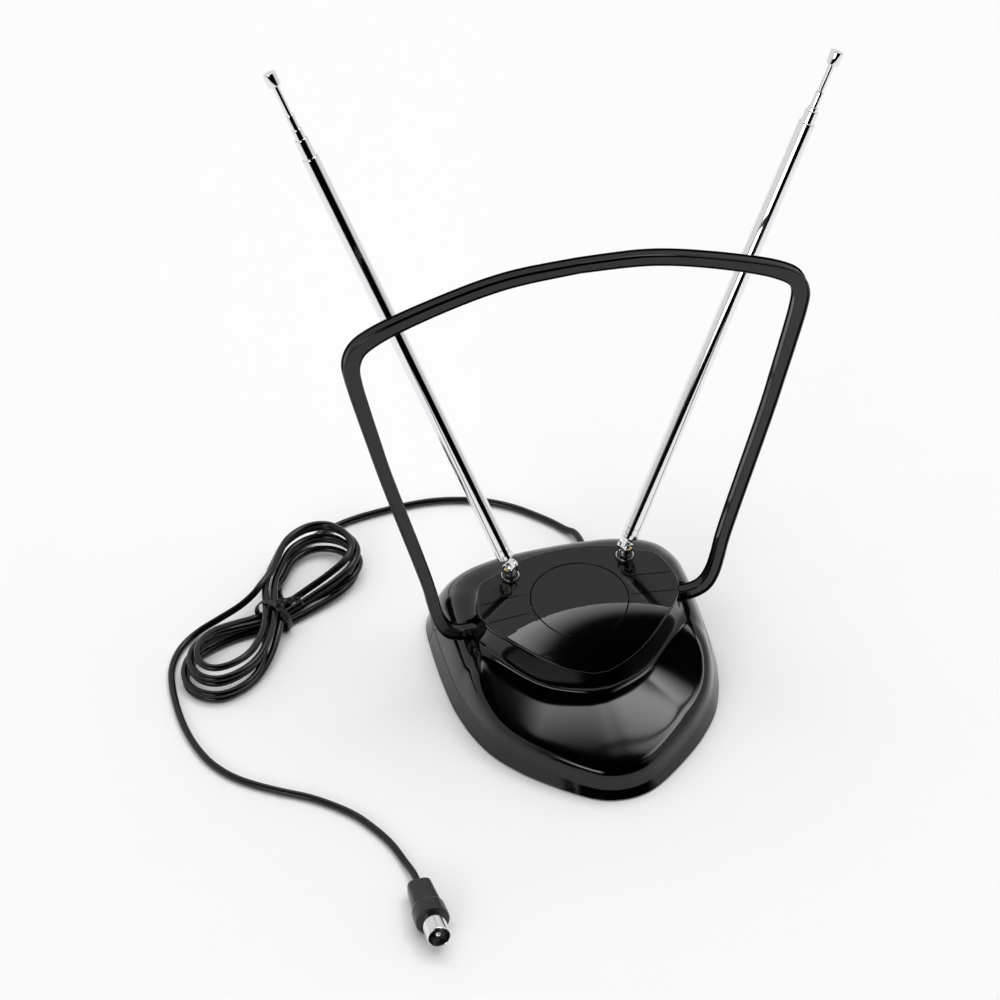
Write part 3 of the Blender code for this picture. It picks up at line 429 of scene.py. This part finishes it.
def shell(name, top_z, dip, front, finish, node, flange):
    """One shell as an even grid between the two parting lines, with a rounded lip and a flange turned inwards."""
    steps = [-1 + 0.2 * i for i in range(5)] + [-0.05, -0.0001, 0.0101]
    steps += [0.0101 + 0.9899 * (1 - math.cos(math.pi * i / SHELL_ROWS)) / 2 for i in range(1, SHELL_ROWS + 1)]
    rows = []
    for step in steps:
        right = seam_angle(step, top_z, dip, -SEAM_GAP if front else SEAM_GAP)
        left = math.pi - right
        start, sweep_by = right, -(math.pi + 2 * right) if front else left - right
        row = [base_point(start + sweep_by * i / SHELL_COLUMNS, step, top_z, dip) for i in range(SHELL_COLUMNS + 1)]
        rows.append(row)
    finished = []
    for r, row in enumerate(rows):
        lips = []
        for end, inward in ((0, 1), (-1, -1)):
            edge = row[end]
            over = rows[min(len(rows) - 1, r + 1)][end] - rows[max(0, r - 1)][end]
            along = row[end + inward] - edge
            normal = over.cross(along).normalized()
            if normal.dot(Vector((edge.x, edge.y - BASE_CENTRE[1], 60))) < 0:
                normal = -normal
            back = along.normalized()
            lips.append([edge - normal * 0.25, edge - normal * 0.07 + back * 0.06, edge + back * 0.22])
            lips[-1].insert(0, edge - normal * flange + back * 0.05)
        start, stop = lips
        finished.append(start + row[1:-1] + stop[::-1])
    return piece(name, *skin(finished, loop_columns=False), finish, "base", "gloss_black_plastic", (node,), 50)


gloss_abs = grain(finish_of("gloss_abs", (0.0006, 0.0006, 0.0007), 0.09), 60, 0.015, 0.0008, 0.015, detail=2.0)
shell("front_moulding", SHOULDER_Z, NOSE_DIP, True, gloss_abs, "front_shell", 2.2)
shell("rear_moulding", REAR_Z, 0.0, False, gloss_abs, "rear_cover", 8.0)

# ---------------------------------------------------------------- cap and its disc
# A flat cap in the same glossy ABS is pressed onto the base. In front of a curved crease it slopes down, a
# disc is let into it, and two fine grooves run out from the disc on each side.
DISC_RADIUS, DISC_SIDES = 20.0, 288
RECESS_GAP, RECESS_EDGE, CAP_EDGE = 0.36, 0.12, 0.6
DISC_EDGE, DISC_THICK = 0.15, 1.2
SWIVEL_X, BUSH_HOLE = 24.5, 4.25
GROOVE_WIDTH, GROOVE_DEPTH = 0.5, 0.8
# Each groove on the right-hand side: its outer end, then its end at the disc.
GROOVES = (((40.3, -13.5), (20.75, -11.4)), ((39.6, -24.0), (20.95, -22.2)))


def cap_row(distance_at, drop_at):
    """Points round the disc's centre that follow the cap's surface."""
    row = []
    for i in range(DISC_SIDES):
        angle = 2 * math.pi * i / DISC_SIDES
        distance = distance_at(angle)
        x = BASE_CENTRE[0] + distance * math.cos(angle)
        y = BASE_CENTRE[1] + distance * math.sin(angle)
        row.append(Vector((x, y, cap_surface(x, y) - drop_at)))
    return row


def true_normals(obj):
    """Sets the shading of the top faces to the surface's own slope, so that holes and grooves leave no marks."""
    mesh = obj.data
    given = []
    for polygon in mesh.polygons:
        for index in polygon.loop_indices:
            place = mesh.vertices[mesh.loops[index].vertex_index].co / MM
            beyond = max(0.0, CREASE_Y - CREASE_BOW * place.x ** 2 - place.y)
            slope = CAP_SLOPE + 2 * CAP_CURVE * beyond if beyond > 0 else 0.0
            centre = polygon.center / MM
            if CREASE_Y - CREASE_BOW * centre.x ** 2 - centre.y <= 0:
                slope = 0.0
            elif beyond == 0:
                slope = CAP_SLOPE
            normal = Vector((-slope * 2 * CREASE_BOW * place.x, -slope, 1)).normalized()
            matches = polygon.normal.dot(normal) > 0.999 and abs(place.z - cap_surface(place.x, place.y)) < 0.02
            given.append(normal if matches else mesh.corner_normals[index].vector.copy())
    mesh.normals_split_custom_set(given)


recess = DISC_RADIUS + RECESS_GAP
rows = [cap_row(lambda a: recess, 2.0), cap_row(lambda a: recess, RECESS_EDGE),
        cap_row(lambda a: recess + RECESS_EDGE, 0)]
for i in range(1, 41):
    rows.append(cap_row(lambda a, t=i / 40: recess + RECESS_EDGE
                        + (cap_reach(a) - CAP_EDGE - recess - RECESS_EDGE) * t, 0))
for i in range(1, 6):
    turn = math.radians(90 * i / 5)
    rows.append(cap_row(lambda a, s=math.sin(turn): cap_reach(a) - CAP_EDGE + CAP_EDGE * s,
                        CAP_EDGE * (1 - math.cos(turn))))
rows += [cap_row(cap_reach, CAP_THICK - 0.2), cap_row(lambda a: cap_reach(a) - 0.2, CAP_THICK),
         cap_row(lambda a: cap_reach(a) - 3.0, CAP_THICK), cap_row(lambda a: recess, CAP_THICK)]
cap = piece("cap", *skin(rows, loop_rows=True), gloss_abs, "base", "gloss_black_plastic", ("deck_cap",), 50)


def cut(obj, verts, faces, name, transform=None):
    """Cuts a hole or groove out of a piece for good."""
    tool = piece(name, verts, faces, gloss_abs, "base", "gloss_black_plastic", transform=transform)
    step = obj.modifiers.new(name, "BOOLEAN")
    step.object = tool
    step.solver = "EXACT"
    bpy.context.view_layer.update()
    final = bpy.data.meshes.new_from_object(obj.evaluated_get(bpy.context.evaluated_depsgraph_get()))
    obj.modifiers.clear()
    obj.data = final
    bpy.data.objects.remove(tool, do_unlink=True)


def bar(a, b, width, depth):
    """A bar that narrows a little downwards, for cutting a groove into the cap."""
    a, b = Vector(a), Vector(b)
    along = (b - a).normalized()
    across = Vector((-along.y, along.x, 0)) * width / 2
    up, down = Vector((0, 0, 0.3)), Vector((0, 0, -depth))
    rows = [[end + across + up, end - across + up, end - across * 0.8 + down, end + across * 0.8 + down]
            for end in (a, b)]
    return skin(rows, caps=True)


def turned(profile, sides=48):
    """Rows of a turned piece about Z from (radius, height) pairs."""
    return [[Vector((radius * math.cos(2 * math.pi * i / sides), radius * math.sin(2 * math.pi * i / sides), height))
             for i in range(sides)] for radius, height in profile]


for name, side in (("left", -1), ("right", 1)):
    hole = skin(turned([(BUSH_HOLE, CAP_Z - 3), (BUSH_HOLE, CAP_Z + 3)]), caps=True)
    cut(cap, *hole, f"{name}_bush_hole", Matrix.Translation((side * SWIVEL_X, 0, 0)))
    for number, ends in enumerate(GROOVES):
        outer, inner = ((side * x, y, CAP_Z) for x, y in ends)
        cut(cap, *bar(outer, inner, GROOVE_WIDTH, GROOVE_DEPTH), f"{name}_groove_{number}")
true_normals(cap)

rows = [cap_row(lambda a: 0.001, 0)]
for i in range(1, 31):
    rows.append(cap_row(lambda a, t=i / 30: t * (DISC_RADIUS - DISC_EDGE), 0))
rows += [cap_row(lambda a: DISC_RADIUS, DISC_EDGE), cap_row(lambda a: DISC_RADIUS, DISC_THICK)]
disc = piece("disc", *skin(rows), gloss_abs, "base", "gloss_black_plastic", ("centre_disc",), 50)
true_normals(disc)

# ---------------------------------------------------------------- loop
# The loop for the upper band is one glossy black moulding over a wire. Its front face is flat, its edges are
# rounded, and its two feet run under the cap across the base's shoulders.
LOOP_FRONT_Y, LOOP_DEPTH, LOOP_LEAN = -17.3, 4.9, 0.042
FOOT_Z, FOOT_WIDTH = 25.0, 5.9
LOOP_HALF = (
    (0, 208.2, 4.6), (22, 207.2, 5.0), (37, 204.8, 5.1), (54, 200.1, 5.2), (70, 194.6, 5.6),
    (80, 190.2, 6.1), (86.6, 185.4, 6.5), (89.4, 178.5, 6.7), (88.8, 170, 6.4), (86, 156, 6.1),
    (82.5, 140, 5.8), (77.3, 117, 5.4), (66.3, 73.8, 5.3), (62, 56, 5.2), (60.2, 46, 5.2),
    (58.2, 37.3, 5.4), (54.9, 31.0, 5.8), (50, FOOT_Z + FOOT_WIDTH / 2 + 0.3, FOOT_WIDTH),
    (44, FOOT_Z + FOOT_WIDTH / 2, FOOT_WIDTH), (40, FOOT_Z + FOOT_WIDTH / 2, FOOT_WIDTH),
)
half = smooth(LOOP_HALF, 10)
path = [Vector((-p.x, p.y, p.z)) for p in half[:0:-1]] + half
rows = []
for i, point in enumerate(path):
    before, after = path[max(0, i - 1)], path[min(len(path) - 1, i + 1)]
    along = Vector((after.x - before.x, 0, after.y - before.y)).normalized()
    out = Vector((-along.z, 0, along.x))
    half_width, half_depth = point.z / 2, LOOP_DEPTH / 2
    row = []
    for sx, sy, radius in ((1, -1, 0.85), (-1, -1, 0.5), (-1, 1, 0.5), (1, 1, 0.5)):
        for k in range(5):
            turn = math.radians(90 * k / 4)
            a, b = (math.cos(turn), math.sin(turn)) if sx * sy > 0 else (math.sin(turn), math.cos(turn))
            across = sx * (half_width - radius + radius * a)
            back = half_depth + sy * (half_depth - radius + radius * b)
            place = Vector((point.x, 0, point.y)) + out * across
            lean = LOOP_LEAN * max(0.0, place.z - FOOT_Z - FOOT_WIDTH)
            row.append(Vector((place.x, LOOP_FRONT_Y + back + lean, place.z)))
    rows.append(row)
piece("loop", *skin(rows, caps=True), gloss_abs, "base", "gloss_black_plastic", ("uhf_loop",), 50)

# ---------------------------------------------------------------- rods
# Each rod is five drawn brass tubes, chromed and sliding in one another, with a turned cap on the thinnest.
# A turned post in the cap's bush swivels, and a riveted fork on top of it lets the rod tilt.
ROD_TILT, HINGE_Z = 30.2, 45.5
TUBES = (3.5, 2.85, 2.25, 1.8, 1.4)
TUBE_START, ROD_LENGTH = 4.5, 194.0
TIP_RADIUS, TIP_LENGTH = 2.75, 5.6
SLIDE_GAP, TUBE_LIP = 0.12, 0.28
RING_GROOVES, GROOVE_HALF, RING_GROOVE_DEPTH = (2.2, 5.0), 0.28, 0.13
FIRST_OVERLAP, MORE_OVERLAP = 14.0, 8.0
# Each rod: its side, its bearing, and how far each section stands out of the one before.
SIDES = (("left", -1, 129.3, (8.3, 4.4, 6.2, 12.8)), ("right", 1, 30.6, (5.2, 1.5, 6.7, 11.6)))

chrome = grain(finish_of("chrome", (0.86, 0.86, 0.87), 0.07, 1.0), 120, 0.03, 0.0002, 0.025, (1, 1, 0.05))
bright_chrome = grain(finish_of("bright_chrome", (0.88, 0.88, 0.89), 0.05, 1.0), 300, 0.04, 0.0002, 0.02)
bush_plastic = grain(finish_of("bush_plastic", (0.006, 0.006, 0.007), 0.35), 500, 0.2, 0.0002, 0.05)


def cheek(radius, root_z, eye_z, low, high, edge=0.25):
    """Rows of a plate across Y with a round end about the hinge."""
    rows = []
    for place, inset in ((low, edge), (low + edge, 0), (high - edge, 0), (high, edge)):
        outline = [(-radius + inset, root_z), (radius - inset, root_z)]
        for i in range(25):
            angle = math.pi * i / 24
            outline.append(((radius - inset) * math.cos(angle), eye_z + (radius - inset) * math.sin(angle)))
        rows.append([Vector((a, place, b)) for a, b in outline])
    return rows


for name, side, azimuth, steps in SIDES:
    bush = [(4.1, CAP_Z - 2), (4.1, CAP_Z + 0.35), (3.98, CAP_Z + 0.5), (3.8, CAP_Z + 0.5), (3.75, CAP_Z + 0.1),
            (2.4, CAP_Z + 0.1)]
    socket = Matrix.Translation((side * SWIVEL_X, 0, 0))
    piece(f"{name}_bush_ring", *skin(turned(bush)), bush_plastic, "base", "satin_black_plastic", (f"{name}_bush",),
          transform=socket)
    turning = socket @ Matrix.Rotation(math.radians(azimuth), 4, "Z")
    post = [(2.2, CAP_Z - 8), (2.2, CAP_Z + 2.7), (2.35, CAP_Z + 2.8), (2.5, CAP_Z + 3.0), (2.4, CAP_Z + 3.3),
            (0.4, CAP_Z + 3.35)]
    piece(f"{name}_post", *skin(turned(post), caps=True), bright_chrome, f"{name}_post", "chrome",
          (f"{name}_swivel_post",), transform=turning)
    ring = [(3.35, CAP_Z + 0.2), (3.72, CAP_Z + 0.2), (3.74, CAP_Z + 0.85), (3.68, CAP_Z + 1.0), (3.5, CAP_Z + 1.0),
            (3.4, CAP_Z + 0.9), (3.35, CAP_Z + 0.2)]
    piece(f"{name}_ring", *skin(turned(ring)), bright_chrome, f"{name}_post", "chrome", (), transform=turning)
    for number, (low, high) in enumerate(((-2.6, -1.15), (1.15, 2.6))):
        piece(f"{name}_fork_{number}", *skin(cheek(2.5, CAP_Z + 3.0, HINGE_Z, low, high), caps=True), bright_chrome,
              f"{name}_post", "chrome", (), transform=turning)
    head = [(0.001, 3.25), (0.7, 3.2), (1.15, 2.95), (1.25, 2.65), (1.25, 2.5), (0.9, 2.5)]
    rivet = head + [(radius, -place) for radius, place in reversed(head)]
    lying = turning @ Matrix.Translation((0, 0, HINGE_Z)) @ Matrix.Rotation(math.radians(90), 4, "X")
    brass = grain(finish_of(f"{name}_rivet_brass", (0.78, 0.62, 0.36), 0.18, 1.0), 400, 0.05, 0.0002, 0.04)
    piece(f"{name}_rivet", *skin(turned(rivet, 32)), brass, f"{name}_post", "nickelled_brass", (f"{name}_hinge_pin",),
          transform=lying)

    hinge = turning @ Matrix.Translation((0, 0, HINGE_Z)) @ Matrix.Rotation(math.radians(ROD_TILT), 4, "Y")
    tongue = [[Vector((p.x, p.y, TUBE_START + 1.2 - p.z)) for p in row]
              for row in cheek(2.3, 0.0, TUBE_START + 1.2, -1.0, 1.0)]
    piece(f"{name}_tongue", *skin(tongue, caps=True), bright_chrome, f"{name}_section_1", "chrome",
          (f"{name}_rod_fitting",), transform=hinge)
    low, high = TUBE_START, ROD_LENGTH
    for number, radius in enumerate(TUBES, start=1):
        last = number == len(TUBES)
        inner = 0.3 if last else TUBES[number] + SLIDE_GAP
        lip = radius - TUBE_LIP
        profile = []
        if number == 1:
            profile += [(0.3, low - 0.2), (radius - 0.9, low - 0.15), (radius - 0.35, low), (radius - 0.05, low + 0.35)]
            for groove in RING_GROOVES:
                bottom = radius - RING_GROOVE_DEPTH
                profile += [(radius, low + groove - GROOVE_HALF), (bottom, low + groove - 0.1),
                            (bottom, low + groove + 0.1), (radius, low + groove + GROOVE_HALF)]
        else:
            profile += [(inner, low), (radius, low)]
        if last:
            profile += [(radius, high + 1.0), (0.3, high + 1.0)]
        else:
            profile += [(radius, high - 0.55), (radius - 0.03, high - 0.4), (radius - 0.12, high - 0.2),
                        (lip, high - 0.04), (lip - 0.1, high), (inner + 0.08, high), (inner, high - 0.1),
                        (inner, high - 1.2)]
        node = f"{name}_core" if last else f"{name}_tube_{number}"
        piece(f"{name}_section_{number}_tube", *skin(turned(profile, 56), caps=True), chrome,
              f"{name}_section_{number}", "chrome", (node,), 30, hinge)
        if not last:
            high += steps[number - 1]
            low = TUBE_START + FIRST_OVERLAP + MORE_OVERLAP * number
    top = high + TIP_LENGTH
    tip = [(1.5, high + 0.1), (TIP_RADIUS - 0.35, high), (TIP_RADIUS - 0.08, high + 0.1), (TIP_RADIUS, high + 0.35),
           (TIP_RADIUS, top - 0.35), (TIP_RADIUS - 0.08, top - 0.1), (TIP_RADIUS - 0.3, top),
           (TIP_RADIUS - 0.7, top - 0.15), (1.2, top - 0.55), (0.001, top - 0.65)]
    piece(f"{name}_tip_cap", *skin(turned(tip, 56)), chrome, f"{name}_section_5", "chrome", (f"{name}_tip",), 30, hinge)

# ---------------------------------------------------------------- plug
# The coaxial plug: a moulded satin grip with a flat thumb panel, a round collar, a nickelled sleeve that
# springs a little, a black insulator inside it and a centre pin.
# The grip's stations: place along it, half width and half height.
GRIP = ((0.0, 2.0, 2.0), (0.6, 3.6, 3.4), (1.5, 4.6, 4.3), (2.6, 4.95, 4.55), (8.0, 5.2, 4.8), (13.6, 5.6, 5.2),
        (14.4, 5.9, 5.6), (15.4, 6.5, 6.4), (16.4, 6.75, 6.7), (21.6, 6.85, 6.85), (22.6, 6.6, 6.6), (23.0, 6.1, 6.1))
GRIP_SIDES, GRIP_SQUARE, COLLAR_START = 64, 0.55, 12.5
grip_plastic = grain(finish_of("grip_plastic", (0.010, 0.010, 0.011), 0.33), 900, 0.35, 0.0002, 0.06)
plug_at = Matrix.Translation(PLUG_REAR) @ PLUG_TURN
rows = []
for height, wide, tall in smooth([Vector(g) for g in GRIP], 4):
    row = []
    squareness = GRIP_SQUARE + 0.45 * ease((height - COLLAR_START) / 4)
    for i in range(GRIP_SIDES):
        turn = 2 * math.pi * i / GRIP_SIDES
        c, s = math.cos(turn), math.sin(turn)
        row.append(Vector((tall * math.copysign(abs(c) ** squareness, c),
                           wide * math.copysign(abs(s) ** squareness, s), height)))
    rows.append(row)
rows.append([Vector((p.x * 0.76, p.y * 0.76, 23.0)) for p in rows[-1]])
piece("plug_grip", *skin(rows, caps=True), grip_plastic, "base", "satin_black_plastic", ("plug_body",), 50, plug_at)
nickel = grain(finish_of("nickel", (0.80, 0.80, 0.80), 0.12, 1.0), 200, 0.05, 0.0002, 0.04)
sleeve = [(4.3, 22.5), (4.75, 22.5), (4.75, 31.3), (4.68, 31.75), (4.5, 32.0), (4.35, 31.9), (4.3, 31.6), (4.3, 22.6)]
piece("plug_shell", *skin(turned(sleeve, 72)), nickel, "base", "chrome", ("plug_sleeve",), 40, plug_at)
core_plastic = grain(finish_of("core_plastic", (0.012, 0.012, 0.012), 0.45), 600, 0.2, 0.0002, 0.05)
core = [(4.3, 23.3), (4.3, 26.0), (4.1, 26.3), (1.6, 26.3), (1.5, 26.0)]
piece("plug_core", *skin(turned(core, 48), caps=True), core_plastic, "base", "black_insulator",
      ("plug_insulator",), 40, plug_at)
pin = [(1.15, 25.5), (1.15, 30.0), (1.0, 30.5), (0.6, 30.9), (0.001, 31.0)]
piece("plug_contact", *skin(turned(pin, 40)), nickel, "base", "chrome", ("plug_pin",), 40, plug_at)

# ---------------------------------------------------------------- hidden parts
# The base plate, rubber feet, screws, ballast and circuit board keep their own solids and get their finishes.
plate_plastic = grain(finish_of("plate_plastic", (0.012, 0.012, 0.013), 0.5), 350, 0.4, 0.0003, 0.08)
foot_rubber = grain(finish_of("foot_rubber", (0.02, 0.02, 0.02), 0.85), 500, 0.4, 0.0003, 0.05)
zinc = grain(finish_of("zinc", (0.6, 0.61, 0.63), 0.32, 1.0), 180, 0.15, 0.0002, 0.08)
laminate = grain(finish_of("laminate", (0.02, 0.12, 0.05), 0.45), 400, 0.1, 0.0002, 0.05)
ferrite = grain(finish_of("ferrite", (0.05, 0.05, 0.055), 0.7), 500, 0.4, 0.0003, 0.08)
tag_brass = grain(finish_of("tag_brass", (0.78, 0.62, 0.36), 0.2, 1.0), 400, 0.05, 0.0002, 0.04)
INSIDE = (
    (plate_plastic, ("base_plate",)),
    (foot_rubber, ("foot_front_left", "foot_front_right", "foot_rear_left", "foot_rear_right", "cord_gland")),
    (zinc, ("screw_front_left", "screw_front_right", "screw_rear_left", "screw_rear_right", "board_screw_left",
            "board_screw_right", "ballast_plate", "loop_clamp", "left_retaining_nut", "right_retaining_nut")),
    (laminate, ("circuit_board",)),
    (ferrite, ("balun_core",)),
    (tag_brass, ("left_contact_ring", "right_contact_ring")),
)
for finish, names in INSIDE:
    for name in names:
        frame["nodes"][name].data.materials.clear()
        frame["nodes"][name].data.materials.append(finish)

# ---------------------------------------------------------------- table and light
# A pale seamless table under a large soft light from above. The chrome and the gloss reflect the surroundings:
# pale walls behind and beside the table, a dark ceiling and front, a soft box high behind, and a small one in front.
table_top = grain(finish_of("table_top", (0.86, 0.86, 0.87), 0.9), 30, 0.02, 0.0005)
table_mesh = bpy.data.meshes.new("table")
edge = 8.0
corners = [(-edge, -edge, 0), (edge, -edge, 0), (edge, edge, 0), (-edge, edge, 0)]
table_mesh.from_pydata(corners, [], [(0, 1, 2, 3)])
table_mesh.materials.append(table_top)
table = bpy.data.objects.new("table", table_mesh)
bpy.context.scene.collection.objects.link(table)


def soft_light(name, place, target, size, power):
    """A square soft light that faces its target."""
    data = bpy.data.lights.new(name, "AREA")
    data.shape = "RECTANGLE"
    data.size = data.size_y = size
    data.energy = power
    lamp = bpy.data.objects.new(name, data)
    lamp.location = place
    lamp.rotation_euler = (Vector(target) - Vector(place)).to_track_quat("-Z", "Y").to_euler()
    bpy.context.scene.collection.objects.link(lamp)
    return lamp


WALL_GLOW, FRONT_BOX_GLOW = 0.78, 5.0
overhead = soft_light("overhead_fill", (0.1, 0.3, 2.6), (0, 0, 0), 3.0, 48)
overhead.visible_glossy = False
surroundings = bpy.data.worlds.new("surroundings")
bpy.context.scene.world = surroundings
surroundings.use_nodes = True
tree = surroundings.node_tree


def math_node(operation, *values):
    """A sum on numbers and sockets in the surroundings' node tree."""
    made = tree.nodes.new("ShaderNodeMath")
    made.operation = operation
    for socket, value in zip(made.inputs, values):
        if isinstance(value, (int, float)):
            socket.default_value = value
        else:
            tree.links.new(value, socket)
    return made.outputs["Value"]


def rise_between(value, low, high):
    """0 below low, 1 above high, and smooth in between."""
    made = tree.nodes.new("ShaderNodeMapRange")
    made.interpolation_type = "SMOOTHSTEP"
    tree.links.new(value, made.inputs["Value"])
    made.inputs["From Min"].default_value = low
    made.inputs["From Max"].default_value = high
    return made.outputs["Result"]


def window(value, low, high, soft):
    """1 between low and high, fading to 0 on both sides."""
    past = rise_between(value, high - soft, high + soft)
    return math_node("MULTIPLY", rise_between(value, low - soft, low + soft), math_node("SUBTRACT", 1, past))


direction = tree.nodes.new("ShaderNodeTexCoord")
parts = tree.nodes.new("ShaderNodeSeparateXYZ")
tree.links.new(direction.outputs["Generated"], parts.inputs["Vector"])
x, y, z = (parts.outputs[name] for name in "XYZ")
height = math_node("MULTIPLY", math_node("ARCSINE", z), 180 / math.pi)
# Bearing from the right-hand side, counted towards the back; the camera stands at -106 degrees.
bearing = math_node("MULTIPLY", math_node("ARCTAN2", y, x), 180 / math.pi)
away_from_front = math_node("SUBTRACT", 1, window(bearing, -150, -35, 14))
walls = math_node("MULTIPLY", math_node("SUBTRACT", 1, rise_between(height, 50, 58)), away_from_front)
box_fade = tree.nodes.new("ShaderNodeMapRange")
tree.links.new(height, box_fade.inputs["Value"])
for socket, value in zip(("From Min", "From Max", "To Min", "To Max"), (58, 68.5, 6.6, 0.0)):
    box_fade.inputs[socket].default_value = value
back_box = math_node("MULTIPLY", window(height, 56.5, 72, 0.8), box_fade.outputs["Result"])
back_box = math_node("MULTIPLY", back_box, window(bearing, -8, 105, 10))
front_box = math_node("MULTIPLY", window(height, 18, 34, 2), window(bearing, -142, -112, 4))
glow = math_node("ADD", math_node("MULTIPLY", walls, WALL_GLOW), back_box)
glow = math_node("ADD", glow, math_node("MULTIPLY", front_box, FRONT_BOX_GLOW))
tree.links.new(glow, tree.nodes["Background"].inputs["Strength"])
tree.nodes["Background"].inputs["Color"].default_value = (1, 1, 1, 1)
bpy.context.scene.view_settings.view_transform = "Standard"
